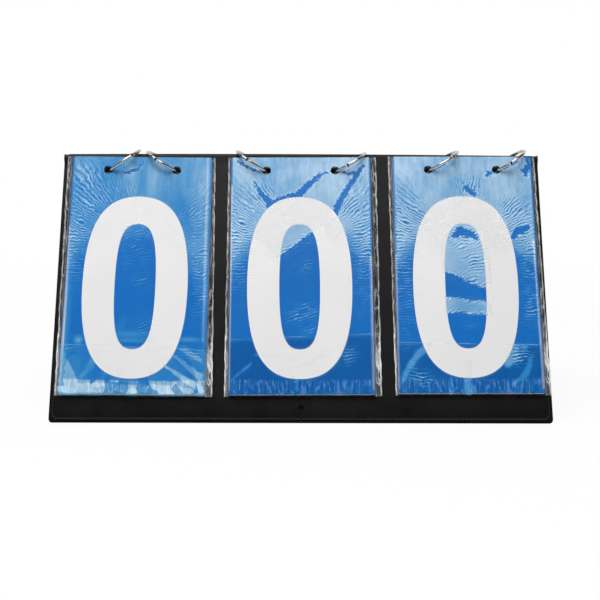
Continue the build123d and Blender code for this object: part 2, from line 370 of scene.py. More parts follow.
def film():
    """Clear film: haze where it clings, partly the film's own milkiness and partly painted glare, bare
    patches, painted shadows of the rings, and ripples, folds and creases with painted highlights and
    painted shade. The piece carries the slow shapes, and the nodes add what is finer than its mesh."""
    m = Look("clear_film", Roughness=0.16, IOR=1.5)
    m.material.surface_render_method = "BLENDED"
    haze = m.value("haze")

    rag = m.minus(m.noise(620.0, 5.0, rough=0.75), 0.5)
    edge = m.plus(m.value("bare_and_ring_shadow"), m.times(rag, 9.0))
    covered = m.ramp(edge, -0.25, 0.25)
    # Painted highlight: a brighter band round the edges of the bare patches.
    fringe_highlight = m.times(m.ramp(m.math("ABSOLUTE", m.minus(edge, 0.7)), 0.6, 0.0), 0.34)
    cloud = m.ramp(m.noise(55.0, 6.0, rough=0.6), 0.3, 0.75, 0.72, 1.16)
    hairs = m.ramp(m.noise(1.0, 3.0, m.stretched(300.0, 62.0), 0.55), 0.3, 0.7, -1.0, 1.0)

    # Ripples: painted highlights on their crests and painted shade in their troughs, which also bump the
    # surface a little.
    swirl = m.plus(m.times(m.noise(130.0, 2.0), 1.9), m.times(m.noise(420.0, 2.0), 0.8))
    wave = m.math("SINE", m.times(m.plus(m.value("phase"), swirl), 2 * pi))
    broken = m.times(m.value("ripple"), m.ramp(m.noise(250.0, 3.0), 0.40, 0.54, 0.2, 1.35))
    lit_crest = m.times(m.math("POWER", m.larger(wave, 0.0), 2.0), broken)
    shaded_trough = m.math("POWER", m.larger(m.times(wave, -1.0), 0.0), 2.0)
    shaded_trough = m.times(m.times(shaded_trough, broken), 1.5, clamp=True)

    soft = m.plus(m.times(haze, cloud), m.times(hairs, m.value("streak")))
    soft = m.times(m.plus(soft, m.times(fringe_highlight, haze)), covered)
    soft = m.times(m.larger(soft, 0.0), m.minus(1.0, shaded_trough))
    soft = m.plus(soft, m.times(lit_crest, m.ramp(haze, 0.1, 0.45, 0.46, 0.26)))

    # Painted sheen: light facets where the film lies creased and double.
    facet_sheens = m.ramp(m.cells(m.stretched(150.0, 105.0)), 0.42, 0.60)
    soft = m.plus(soft, m.times(facet_sheens, m.value("facet_sheen")))
    # Painted glints: thin bright strands where the film crinkles, and bright crumpled cells on its folds.
    strands = m.minus(m.noise(1.0, 2.0, m.stretched(300.0, 52.0), 0.6), 0.5)
    glint = m.times(m.ramp(m.math("ABSOLUTE", strands), 0.035, 0.008), m.value("crinkle_glint"))
    crumple = m.ramp(m.cells(m.stretched(640.0, 120.0)), 0.50, 0.62)
    glint = m.plus(glint, m.times(crumple, m.value("fold")))
    bright = m.plus(m.value("crease_highlight"), glint, clamp=True)

    on_white = m.value("white")
    # Painted shade: the print shows darker blue under the flaps of the middle and right decks.
    shade = m.times(m.value("shade"), m.ramp(m.plus(soft, bright), 0.12, 0.02))
    shade = m.times(shade, m.minus(1.0, on_white))
    alpha = m.plus(m.times(soft, m.ramp(on_white, 0.0, 1.0, 1.0, 0.55)), bright)
    alpha = m.plus(alpha, m.times(shade, 0.15))
    m.set("Alpha", m.plus(m.math("MINIMUM", alpha, 0.92), 0.007))
    neutral = m.larger(m.larger(on_white, m.ramp(bright, 0.0, 0.3)), m.value("rim"))
    tint = m.mix(m.ramp(soft, 0.22, 0.6), (0.14, 0.68, 1.0, 1), (0.52, 0.80, 1.0, 1))
    tint = m.mix(shade, tint, (0.004, 0.012, 0.07, 1))
    m.set("Base Color", m.mix(neutral, tint, (0.93, 0.95, 0.97, 1)))
    height = m.plus(m.minus(lit_crest, shaded_trough), m.times(glint, 1.5))
    m.set("Normal", m.bump(height, 0.00025, 0.6))
    return m.material


def white_stage():
    """White that the camera and reflections see as plain white, with a faint shadow near the object."""
    m = Look("white_stage", Roughness=0.9)
    m.set("Base Color", (0.88, 0.88, 0.88, 1))
    away = m.add("VectorMath", {0: m.spot()}, operation="LENGTH").outputs["Value"]
    plain = m.ramp(away, 0.22, 0.75, 0.90, 1.0)
    rays = m.add("LightPath").outputs
    seen = m.larger(m.larger(rays["Is Camera Ray"], rays["Is Glossy Ray"]), rays["Is Transmission Ray"])
    glow = m.add("Emission", {"Color": (1, 1, 1, 1), "Strength": 1.0})
    blend = m.add("MixShader", {0: m.times(seen, plain), 1: m.shader.outputs[0], 2: glow.outputs[0]})
    m.join(blend.outputs[0], m.tree.nodes["Material Output"].inputs["Surface"])
    return m.material


VINYL = vinyl()
PRINT = printed_card()
INK = white_ink()
FILM = film()
NICKEL = nickel()
CHIPBOARD = chipboard()
YARN = cord_yarn()


# ======== vinyl cover

def steps(*parts):
    """Places along a line: each part is (from, to, count)."""
    runs = [np.linspace(low, high, count, endpoint=False) for low, high, count in parts]
    return np.concatenate(runs + [[parts[-1][1]]])


EDGE_STEPS = steps((0, 0.6, 4), (0.6, 6.0, 16), (6.0, 12.0, 3))


def cover_columns():
    """Places across the cover, closer together near its two ends."""
    half = BOARD_WIDTH / 2
    middle = np.linspace(-half + EDGE_STEPS[-1], half - EDGE_STEPS[-1], 78)[1:-1]
    return np.concatenate([-half + EDGE_STEPS, middle, (half - EDGE_STEPS)[::-1]])


def rounded_distance(x, y, inset, corner):
    """How far inside a board's outline a point lies. Its top is open."""
    half = BOARD_WIDTH / 2 - inset
    dx = half - np.abs(x)
    dy = y + BOARD_DROP - inset
    past = np.hypot(np.maximum(corner - dx, 0), np.maximum(corner - dy, 0))
    return np.where((dx < corner) & (dy < corner), corner - past, np.minimum(dx, dy))


def rounded_corners(x, y):
    """Moves a grid's square bottom corners onto the board's round ones."""
    half = BOARD_WIDTH / 2
    across = np.clip((np.abs(x) - half + CORNER) / CORNER, 0, 1)
    down = np.clip((-BOARD_DROP + CORNER - y) / CORNER, 0, 1)
    x2 = np.where(across > 0, np.sign(x) * (half - CORNER + CORNER * across * np.sqrt(1 - down**2 / 2)), x)
    y2 = np.where(down > 0, -BOARD_DROP + CORNER - CORNER * down * np.sqrt(1 - across**2 / 2), y)
    return x2, y2


def outer_height(x, y, seed):
    """The vinyl's outer face over the board: rim, pressed line, round shoulder, slightly uneven face."""
    edge = rounded_distance(x, y, 0, CORNER)
    board = rounded_distance(x, y, WELD, CORNER + 1)
    rim = SKIN * np.sqrt(np.clip(1 - (1 - np.clip(edge / 0.5, 0, 1)) ** 2, 0, 1))
    rim = SKIN + rim * (0.45 + 0.55 * smoothstep(0.3, 2.0, edge))
    rim = rim - 0.16 * np.exp(-(((edge - 1.9) / 0.3) ** 2))
    rise = np.clip((board + 0.25) / SHOULDER, 0, 1)
    face = np.sqrt(1 - (1 - rise) ** 2.2)
    uneven = 0.05 * waves(x, y, 70, seed) + 0.03 * waves(x, y, 24, seed + 1)
    uneven = np.minimum(uneven - 0.06, 0)
    return rim + (THICK - 2 * SKIN + uneven * smoothstep(0, 8, board)) * face


def inner_height(x, y):
    """The vinyl's inner face, with the pressed line round the rim and the channel at the fold."""
    edge = rounded_distance(x, y, 0, CORNER)
    lip = SKIN - SKIN * np.sqrt(np.clip(1 - (1 - np.clip(edge / 0.5, 0, 1)) ** 2, 0, 1))
    pressed = 0.16 * np.exp(-(((edge - 1.9) / 0.4) ** 2))
    uneven = 0.04 * (1 + waves(x, y, 31, 5)) * smoothstep(3, 10, edge)
    return lip + pressed + uneven + 1.95 * smoothstep(-3.3, -0.4, y)


def spine_radius(x, turned, inner):
    """The cover's distance from the fold axis: fuller in the middle, pinched flat at its ends."""
    end = BOARD_WIDTH / 2 - np.abs(x)
    top = np.sin(turned) ** 2
    if inner:
        flat = 2.2 + 0.5 * top * np.exp(-end / 0.8)
        return flat + (1.95 - flat) * smoothstep(1.2, 3.5, end)
    crown = 0.9 * np.clip(1 - ((x + 20) / 190) ** 2, 0, 1) * top
    pinched = 2.6 + 0.9 * top * np.exp(-end / 0.8)
    return pinched + (THICK + crown - pinched) * smoothstep(1.0, 3.8, end)


def cover_face(inner):
    """A grid over the front board, the spine and the back board, in metres."""
    x = cover_columns()
    low = -BOARD_DROP + EDGE_STEPS
    high = steps((-7.0, 0.0, 14))
    y = np.concatenate([low, np.linspace(low[-1], high[0], 44)[1:-1], high])
    rows = []
    for side in (-1, 1):
        gx, gy = rounded_corners(*np.meshgrid(x, y))
        gz = inner_height(gx, gy) if inner else outer_height(gx, gy, 11 + side)
        top = spine_radius(gx, np.full_like(gx, LEAN), inner)
        gz = gz + (top - gz) * smoothstep(-3.4 if inner else -5.5, 0.0, gy)
        points = placed(np.stack([gx, gy, gz], axis=-1), board_frame(side))
        rows.append(points if side == -1 else points[::-1])
    turned = np.linspace(LEAN, pi - LEAN, 22)[1:-1]
    gx, ga = np.meshgrid(x, turned)
    radius = spine_radius(gx, ga, inner)
    arc = np.stack([gx, -radius * np.cos(ga), SPINE_HEIGHT + radius * np.sin(ga)], axis=-1) * MM
    grid = np.concatenate([rows[0], arc, rows[1]])
    grid[..., 2] = np.maximum(grid[..., 2], 0)
    return grid


def close_rim(outer, inner):
    """Makes the two faces meet along the whole edge."""
    for edge in (np.s_[0, :], np.s_[-1, :], np.s_[:, 0], np.s_[:, -1]):
        outer[edge] = inner[edge] = (outer[edge] + inner[edge]) / 2


def punches():
    """Pegs through the boards where the rings and the cord pass."""
    work = bmesh.new()
    pegs = []
    for middle, _, _ in DECKS.values():
        for hand in (-1, 1):
            pegs.append((middle + hand * HOLE_PITCH / 2, -RING_HOLE_DROP, -THICK, BOARD_HOLE))
    pegs.append((CORD_X, -BOARD_DROP + CORD_UP, SKIN, CORD_HOLE))
    pegs.append((CORD_X, -BOARD_DROP + EYELET_UP, -THICK, CORD))
    for side in (-1, 1):
        for x, y, start, size in pegs:
            place = board_frame(side) @ Matrix.Translation((x, y, start / 2 + THICK))
            shape = {"radius1": size / 2, "radius2": size / 2, "depth": 2 * THICK - start}
            bmesh.ops.create_cone(work, cap_ends=True, segments=32, matrix=place, **shape)
    mesh = bpy.data.meshes.new("punches")
    work.to_mesh(mesh)
    work.free()
    return new_object("punches", mesh)


def cut_away(piece, cutter):
    """Takes one shape out of another for good."""
    cut = piece.modifiers.new("cut", "BOOLEAN")
    cut.object = cutter
    cut.solver = "EXACT"
    graph = bpy.context.evaluated_depsgraph_get()
    result = bpy.data.meshes.new_from_object(piece.evaluated_get(graph))
    piece.modifiers.remove(cut)
    piece.data = result
    bpy.data.objects.remove(cutter)


def make_cover():
    """One sheet of vinyl over both boards and the spine, closed round the rim."""
    outer = cover_face(False)
    inner = cover_face(True)
    close_rim(outer, inner)
    rows, columns = outer.shape[:2]
    points = np.concatenate([outer.reshape(-1, 3), inner.reshape(-1, 3)])
    faces = grid_faces(rows, columns) + [f[::-1] for f in grid_faces(rows, columns, rows * columns)]
    cover = mesh_piece("vinyl_cover", points, faces, VINYL)
    merge_near(cover.data, 0.000001)
    cut_away(cover, punches())
    cover.data.shade_smooth()
    cover.data.set_sharp_from_angle(angle=radians(50))
    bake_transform(cover)
    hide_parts("front_outer_skin", "back_outer_skin", "front_inner_skin", "back_inner_skin",
                "spine_lining")


# ======== numerals

def box_field(x, y, x0, x1, y0, y1):
    """Under 0 inside a box."""
    return np.maximum(np.abs(x - (x0 + x1) / 2) - (x1 - x0) / 2, np.abs(y - (y0 + y1) / 2) - (y1 - y0) / 2)


def oval_field(x, y, cy, rx, ry, power):
    """Under 0 inside an oval, squarer the higher the power."""
    return ((np.abs(x / rx) ** power + np.abs((y - cy) / ry) ** power) ** (1 / power) - 1) * min(rx, ry)


def ring_field(x, y, cy, rx, ry):
    """Under 0 between an oval and its counter."""
    inner = oval_field(x, y, cy, rx - STROKE, ry - BAR, 2.9)
    return np.maximum(oval_field(x, y, cy, rx, ry, 2.5), -inner)


def band_field(x, y, start, end, width):
    """Under 0 inside an endless sloping band through two points, as wide as given across the page."""
    slope = (end[0] - start[0]) / (end[1] - start[1])
    return np.abs(x - start[0] - slope * (y - start[1])) - width / 2


def both(*fields):
    return np.maximum.reduce(fields)


def either(*fields):
    return np.minimum.reduce(fields)


def numeral_field(number, x, y):
    """Under 0 inside a numeral that is centred on 0, 0."""
    w = NUMERAL_WIDTH / 2
    h = NUMERAL_HEIGHT / 2
    turned = -1 if number == 9 else 1
    x, y = x * turned, y * turned
    box, ring, band = (partial(field, x, y) for field in (box_field, ring_field, band_field))
    if number == 0:
        return ring(0, w, h)
    if number == 1:
        stem = box(-4, 18, -h, h)
        flag = both(band_field(y, x, (h - 13.5, -4), (h - 35, -26), 27), box(-26, 4, 0, h))
        return either(stem, flag)
    if number == 2:
        hook = both(ring(h - 38, w, 38), h - 42 - y)
        slope = band((w - STROKE / 2 - 3, 14), (-w + 15, -h + BAR), 27)
        slide = both(slope, box(-w, w, -h, 22))
        foot = box(-w, w, -h, -h + BAR)
        return either(hook, slide, foot)
    if number == 3:
        upper = ring(h - 34, w - 2, 34)
        lower = ring(-h + 36.5, w, 36.5)
        return both(either(upper, lower), -box(-w - 1, -6, -h + 36.5, h - 34))
    if number == 4:
        stem = box(6, 28, -h, h)
        bar = box(-w - 1, w + 1, -h + 24, -h + 24 + BAR)
        slope = band((12, h), (-w + 10, -h + 24 + BAR), 25)
        slide = both(slope, box(-w - 1, 12, -h + 24, h))
        return either(stem, bar, slide)
    if number == 5:
        top = box(-w + 5, w - 3, h - BAR, h)
        stem = box(-w + 5, -w + 5 + 20, -2, h)
        gap = box(-w - 1, -8, -h + 38, -h + 64)
        gap = either(gap, box(-w - 1, -w + 5, -h + 38, h))
        bowl = both(ring(-h + 41, w, 41), -gap)
        return either(top, stem, bowl)
    if number in (6, 9):
        bowl = ring(-h + 40, w, 40)
        gap = box(2, w + 1, -h, h - 36)
        gap = either(gap, box(-8, w + 1, -h, h - BAR - 16))
        arm = both(ring(0, w, h), -gap)
        return either(bowl, arm)
    if number == 7:
        top = box(-w, w, h - BAR, h)
        slope = band((w - 13, h - BAR), (-8, -h), 25)
        slide = both(slope, box(-w, w, -h, h - BAR + 1))
        return either(top, slide)
    return either(ring(h - 34, w - 3, 34), ring(-h + 38, w, 38))


def outline_loops(number, cell):
    """The numeral's outlines, walked round a grid of cells: a loop for its edge and one per counter."""
    margin = 2.71 * cell        # keeps straight edges off the grid's own lines
    x = np.arange(-NUMERAL_WIDTH / 2 - margin, NUMERAL_WIDTH / 2 + 2 * margin, cell)
    y = np.arange(-NUMERAL_HEIGHT / 2 - margin, NUMERAL_HEIGHT / 2 + 2 * margin, cell)
    gx, gy = np.meshgrid(x, y)
    field = numeral_field(number, gx, gy) + 1e-5
    after = {}

    def crossing(a, b):
        """Where the outline crosses from grid point a, inside, to grid point b, outside."""
        share = field[a] / (field[a] - field[b])
        return (gx[a] + share * (gx[b] - gx[a]), gy[a] + share * (gy[b] - gy[a]))

    for r in range(len(y) - 1):
        for c in range(len(x) - 1):
            corners = [(r, c), (r, c + 1), (r + 1, c + 1), (r + 1, c)]
            inside = [field[k] < 0 for k in corners]
            if all(inside) or not any(inside):
                continue
            sides = list(zip(corners, corners[1:] + corners[:1], inside, inside[1:] + inside[:1]))
            leaves = [crossing(a, b) for a, b, a_in, b_in in sides if a_in and not b_in]
            enters = [crossing(b, a) for a, b, a_in, b_in in sides if b_in and not a_in]
            for a, b in zip(leaves, enters):
                after[tuple(np.round(a, 4))] = tuple(np.round(b, 4))
    loops = []
    while after:
        start, here = after.popitem()
        loop = [start]
        while here in after:
            loop.append(here)
            here = after.pop(here)
        loops.append(loop)
    return loops


def numeral_mesh(number):
    curve = bpy.data.curves.new("numeral", "CURVE")
    curve.dimensions = "2D"
    curve.fill_mode = "BOTH"
    curve.extrude = INK_HALF
    for loop in outline_loops(number, 1.0):
        line = curve.splines.new("POLY")
        line.points.add(len(loop) - 1)
        for point, (x, y) in zip(line.points, loop):
            point.co = (x, y, 0, 1)
        line.use_cyclic_u = True
    mesh = curve_mesh(curve)
    mesh.transform(Matrix.Scale(MM, 4))
    mesh.materials.clear()
    mesh.materials.append(INK)
    return mesh


def make_numerals():
    """The printed numerals of the cards behind the first, each deck's from the same nine drawings."""
    for number in range(1, CARDS):
        drawing = numeral_mesh(number)
        face = FIRST_BACK + (CARDS - 1 - number) * PITCH + CARD_SHEET
        for deck in DECKS:
            piece = new_object(f"{deck}_numeral_{number}", drawing)
            middle = (NUMERAL_ASIDE, -NUMERAL_DROP - NUMERAL_HEIGHT / 2, face + INK_UP)
            put(piece, card_frame(deck) @ Matrix.Translation(middle))
            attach(piece, f"{deck}_card_{number}")


# ======== clear sleeves

FILM_BACK = 5.62                # the bag's back sheet, from the board's inner face
FILM_FRONT = 6.04
FILM_FOOT = 1.3                 # how far the bag reaches under the card
FILM_HOLE = 3.0                 # radius of its ring holes
FLANGES = {                     # film past the card's sides: left top, left foot, right top, right foot
    "left": (3.6, 1.8, 1.9, 4.5),
    "middle": (1.7, 2.5, 3.8, 4.0),
    "right": (3.0, 1.7, 1.9, 3.5),
}
FLAPS = {                       # drop of the folded flap's edge at the card's left and right sides
    "left": (130.6, 133.7),
    "middle": (126.7, 123.1),
    "right": (129.4, 131.1),
}
# How hazy each sleeve is at the top: partly the film's own milkiness, partly painted glare.
HAZE = {"left": 0.33, "middle": 0.60, "right": 0.62}
FADES = {                       # x, drop where the haze starts to thin, drop where it has gone
    "left": [(-47, 62, 96), (-32, 44, 74), (0, 40, 62), (30, 55, 78), (47, 70, 118)],
    "middle": [(-47, 60, 96), (-32, 52, 72), (-14, 70, 76), (12, 54, 62), (32, 50, 66), (47, 58, 92)],
    "right": [(-47, 58, 92), (-30, 50, 70), (-17, 56, 76), (-15, 118, 122), (15, 118, 122), (17, 56, 76),
              (30, 52, 70), (47, 62, 84)],
}
GLOWS = {                       # soft clouds of painted glare; a level under 0 thins the haze instead: x, drop, half width, half height, tilt, level
    "left": [
        (-7, 12, 5, 17, -6, 0.22), (8, 13, 6, 18, 8, 0.16), (-38, 14, 9, 20, 0, 0.08),
        (41, 14, 7, 22, 0, 0.16), (-24, 40, 6, 14, 25, -0.10), (30, 42, 6, 16, -20, -0.16),
        (1, 15, 3, 14, 0, -0.10), (40, 60, 7, 12, 0, 0.06), (-36, 128, 3, 3, 0, 0.50),
        (35, 127, 8, 1.6, 2, 0.38), (33, 133, 5, 1.5, 8, 0.3), (-2, 124, 12, 2.5, 0, 0.24),
        (0, 128, 14, 1.2, 0, 0.28), (-9, 118, 3, 7, 20, 0.12), (-46, 120, 3, 60, 0, 0.30),
        (46, 118, 2, 40, 0, 0.2),
    ],
    "middle": [
        (-30, 14, 12, 14, 0, 0.05), (-18, 20, 8, 8, 30, -0.08), (20, 24, 8, 14, 30, 0.06),
        (42, 30, 5, 25, 0, -0.08),
    ],
    "right": [
        (-38, 20, 7, 20, 0, -0.05), (8, 16, 8, 12, 0, -0.12), (-8, 20, 8, 12, 0, -0.08),
        (42, 30, 4, 16, 0, -0.14), (-1, 80, 10, 10, 0, -0.06), (-1, 106, 12, 6, 0, -0.14),
    ],
}
BARE_AND_RING_SHADOWS = {                        # paths with no haze, where the film lies flat, and arcs from the ring holes that are painted shadows of the rings: (x, drop, width) points
    "left": [
        [(-14, 10.5, 0.8), (-10, 11.5, 1.6), (-3, 8.5, 1.6), (0, 4, 1.2)],
        [(12, 3, 0.8), (17, 5.5, 1.4), (20, 8, 1.2)],
    ],
    "middle": [
        [(19.7, 10.8, 1), (13.8, 12, 2.4), (9.1, 15.8, 3.4), (3.6, 21.2, 5), (-0.7, 26.1, 4.6),
         (-8.4, 27.8, 2.6), (-16.2, 30.5, 3), (-21.6, 34.5, 4)],
        [(41.5, 7, 1.8), (38.4, 11.3, 3.4), (34, 18.8, 3.4), (29.2, 25.8, 3.6), (25.6, 33.2, 4.4),
         (22.6, 40.2, 5)],
        [(-32, 17, 0.6), (-27, 26, 3.2), (-21, 32.5, 5)],
        [(27.5, 9.6, 1), (32.2, 12.1, 2.2), (38.5, 9.6, 2), (43.2, 5.4, 1.4)],
        [(-27.5, 9.5, 1), (-33, 8.4, 1.8), (-38, 5.4, 1.6), (-44, 1.6, 1)],
    ],
    "right": [
        [(31.5, 57.5, 3.4), (35.5, 53.5, 5.4), (40.5, 51.2, 4.4), (44.5, 50, 1)],
        [(45, 1, 3), (45.5, 7, 3.6), (42.5, 10.5, 4.6), (43.5, 14, 1.6)],
        [(2, 22, 3.4), (5.5, 25.5, 3.8), (8, 28, 1.6)],
        [(15, 14, 1), (18.5, 11.5, 3.6), (21, 12, 1.6)],
        [(-7, 57, 3), (-3, 53, 6), (4, 55.5, 5), (7.5, 58.5, 1.4)],
        [(25, 9.5, 1.2), (31, 7, 2.2), (38, 3, 1.8)],
        [(-21, 9.5, 1), (-16, 7, 1.6), (-11, 4.5, 1)],
    ],
}
COUNTER_CLEAR = {               # bare bands inside the 0: the line above each and the line under it
    "left": [],
    "middle": [([(-16, 71.5), (-10, 66), (-3.9, 62), (0.8, 58), (8.5, 53.2), (16, 48)], None)],
    "right": [
        ([(-13.4, 82.3), (-4.4, 85.5), (3, 90.2), (10.5, 92.6)],
         [(-14.1, 98.9), (-5, 99.7), (2.5, 101.2), (10, 102)]),
        ([(-13.7, 109.8), (-6.9, 109), (0.6, 110.6), (11.1, 111)], None),
    ],
}
RIPPLES = {                     # rippled places, drawn with painted light and dark lines: x, drop, half width, half height, tilt, strength
    "left": [
        (-41, 62, 9, 30, 0, 0.7), (-32, 24, 13, 22, -30, 0.55), (41, 84, 8, 26, 0, 0.65),
        (36, 40, 9, 16, 20, 0.45), (-2, 60, 11, 20, 0, 0.5), (3, 88, 8, 4, 6, 0.6),
        (6, 118, 8, 7, -30, 0.5), (39, 137, 8, 5, 20, 0.5), (-42, 133, 6, 2, 10, 0.5),
        (-8, 26, 8, 6, 20, 0.3),
    ],
    "middle": [
        (-41, 66, 9, 32, 0, 0.8), (41, 70, 8, 32, 0, 0.85), (-26, 27, 7, 8, 30, 0.6),
        (4, 59, 9, 3.6, -30, 0.95), (-9, 67, 7, 3, -30, 0.8), (2, 78, 7, 5, -30, 0.6),
        (1, 109, 11, 5.5, -16, 1.0), (5, 121, 7, 2.6, -20, 0.8), (33, 34, 9, 12, 30, 0.5),
        (30, 138, 5, 6, 30, 0.5),
    ],
    "right": [
        (-41, 78, 9, 40, 0, 0.9), (41, 82, 8, 30, 0, 0.8), (32, 42, 9, 12, 20, 0.8),
        (-33, 42, 9, 12, -20, 0.5), (0, 58, 10, 7, 10, 0.85), (6, 76, 7, 5, 10, 1.0),
        (0, 88, 13, 4, 14, 0.8), (0, 100, 12, 2.4, 5, 0.7), (0, 110, 12, 2.4, 3, 0.7),
        (1, 118, 5, 2.5, 0, 0.9), (41, 108, 6, 9, 0, 0.7), (32, 139, 6, 6, 30, 1.0),
        (-33, 153, 7, 5, 20, 0.8), (4, 22, 8, 7, 0, 0.6),
    ],
}
SHEENS = {                      # painted glare where the film is double: (x, drop, width) points, level
    "left": [
        ([(-46.5, 134, 1), (-44, 143, 5), (-41, 152, 9), (-40, 158, 12)], 0.33),
        ([(-33, 152, 2), (-27, 145, 5), (-22, 138, 1)], 0.17),
        ([(24, 136, 1), (33, 143, 3), (44, 152, 4)], 0.33),
        ([(20, 144, 1), (32, 152, 3.4), (45, 160, 4)], 0.36),
        ([(30, 132, 2), (38, 137, 4), (44, 141, 2)], 0.31),
        ([(-45, 159.5, 6), (-12, 159.5, 7)], 0.24),
        ([(-6, 160, 6), (9, 160, 5)], 0.27),
        ([(13, 160, 7), (38, 161, 4)], 0.27),
    ],
    "middle": [
        ([(-46, 154.6, 0.5), (-33, 143, 0.7)], 0.35),
        ([(-30, 137, 1), (-5, 139, 5), (18, 133, 1)], 0.20),
        ([(-15, 148, 1), (5, 142, 3), (20, 134, 1)], 0.30),
        ([(-3, 146, 0.8), (-3, 160, 1.0)], 0.25),
    ],
    "right": [
        ([(-27, 131.4, 5), (-34.2, 138.2, 4), (-39.6, 145.1, 3.6), (-44.4, 154.9, 2.4)], 0.36),
        ([(29, 134, 5), (27, 140, 8), (24, 144, 4)], 0.42),
        ([(28, 131.5, 2), (36.5, 132.5, 2), (33, 137, 1)], 0.32),
        ([(-1, 143, 3), (-2.2, 152, 4), (-2.5, 162, 4.4)], 0.34),
        ([(40, 138, 1), (36, 150, 4), (26, 158, 1)], 0.16),
        ([(-13, 154, 0.8), (-14, 163, 1.2)], 0.3),
    ],
}
CREASE_HIGHLIGHTS = {                     # painted highlights along thin folds: (x, drop, width) points, strength
    "left": [
        ([(-46.6, 50, 0.6), (-46.4, 100, 1.2), (-46.2, 160, 1.6)], 0.28),
        ([(44.2, 0, 1.0), (44.9, 128, 1.0)], 0.16),
    ],
    "middle": [([(-46.7, 20, 0.9), (-46.7, 160, 0.9)], 0.35), ([(46.4, 70, 0.8), (46.2, 160, 1.0)], 0.3)],
    "right": [([(-46.6, 70, 0.9), (-46.6, 160, 0.9)], 0.3), ([(45.6, 60, 0.9), (46.2, 160, 1.2)], 0.35)],
}
RIPPLE_SIZE = 2.1


def path_field(x, y, path):
    """Distance outside a path that widens and narrows; under 0 inside it."""
    nearest = np.full_like(x, 1e3)
    for (x0, y0, w0), (x1, y1, w1) in zip(path, path[1:]):
        dx, dy = x1 - x0, y1 - y0
        along = np.clip(((x - x0) * dx + (y - y0) * dy) / (dx * dx + dy * dy), 0, 1)
        gap = np.hypot(x - x0 - along * dx, y - y0 - along * dy) - (w0 + along * (w1 - w0)) / 2
        nearest = np.minimum(nearest, gap)
    return nearest


def clouds(x, y, spots):
    """Soft round spots added together."""
    total = np.zeros_like(x)
    for cx, cy, rx, ry, tilt, level in spots:
        c, s = cos(radians(tilt)), sin(radians(tilt))
        across = (x - cx) * c + (y - cy) * s
        along = (y - cy) * c - (x - cx) * s
        total = total + level * np.exp(-((across / rx) ** 2) - (along / ry) ** 2)
    return total


def ripple_phase(x, drop):
    """Ripples stand out from the numeral all round it, and lie level in the strips beside it."""
    turn_at = 62.0
    angle = np.arctan2(np.maximum(turn_at - drop, 0), np.abs(x) + 1e-6)
    beside = np.where(drop > turn_at, drop, turn_at - 44 * angle)
    slant = 0.8 * waves(x, drop, 60, 3) + 0.35 * waves(x, drop, 17, 4)
    inside = np.abs(x) < 15
    return np.where(inside & (drop > 46), 0.35 * x + drop, beside) / RIPPLE_SIZE + slant


def film_values(deck, x, drop):
    """What the film looks like at each point of a sheet, as numbers for its material."""
    side = np.abs(x) - CARD_WIDTH / 2
    onto_card = smoothstep(0.5, -0.3, side)
    fade = np.array(FADES[deck], float)
    starts = np.interp(x, fade[:, 0], fade[:, 1])
    ends = np.interp(x, fade[:, 0], fade[:, 2])
    upper = HAZE[deck] * (1 - smoothstep(starts, ends, drop + 4 * waves(x, drop, 30, 8)))
    haze = upper + clouds(x, drop, GLOWS[deck])
    bare_and_ring_shadow = np.full_like(x, 9.0)
    for path in BARE_AND_RING_SHADOWS[deck]:
        bare_and_ring_shadow = np.minimum(bare_and_ring_shadow, path_field(x, drop, path))
    for above, under in COUNTER_CLEAR[deck]:
        gap = np.interp(x, *np.array(above, float).T) - drop
        if under:
            gap = np.maximum(gap, drop - np.interp(x, *np.array(under, float).T))
        bare_and_ring_shadow = np.where(np.abs(x) < 16, np.minimum(bare_and_ring_shadow, np.where(drop < 132, gap, 9)), bare_and_ring_shadow)
    zero = numeral_field(0, x - NUMERAL_ASIDE, NUMERAL_DROP + NUMERAL_HEIGHT / 2 - drop)
    white = smoothstep(0.5, -0.5, zero)
    crease_highlight = np.zeros_like(x)
    for path, level in CREASE_HIGHLIGHTS[deck]:
        crease_highlight = crease_highlight + level * smoothstep(0.45, -0.1, path_field(x, drop, path))
    low = smoothstep(112, 132, drop)
    left, right = film_width(deck, drop)
    to_tip = np.where(x < 0, left, right) - side
    flange = smoothstep(0.5, 1.3, side)
    # Painted highlights: a bright line along each flange's outer tip, and one along its weld.
    tip_highlight = smoothstep(0.75, 0.25, to_tip) * (0.34 + 0.25 * low) * (0.8 + 0.6 * waves(drop, x * 0, 13, 7))
    weld_highlight = smoothstep(0.45, 0.15, np.abs(side - 0.9)) * (0.14 + 0.14 * waves(drop, x * 0, 19, 14))
    return {
        "haze": haze * smoothstep(-0.2, -1.2, side) + 0.04 * low * flange,
        "bare_and_ring_shadow": bare_and_ring_shadow,
        "phase": ripple_phase(x, drop),
        "ripple": clouds(x, drop, RIPPLES[deck]) * onto_card,
        "streak": 0.08 * smoothstep(44, 26, drop) * onto_card * (HAZE[deck] + 0.25),
        "crinkle_glint": (0.24 + 0.22 * low) * flange,
        "fold": (0.04 + 0.20 * low) * flange,
        "facet_sheen": np.zeros_like(x),
        "crease_highlight": crease_highlight + np.clip(tip_highlight, 0, 1) + np.clip(weld_highlight, 0, 1),
        "shade": np.zeros_like(x),
        "white": white,
        "rim": 1 - onto_card,
    }


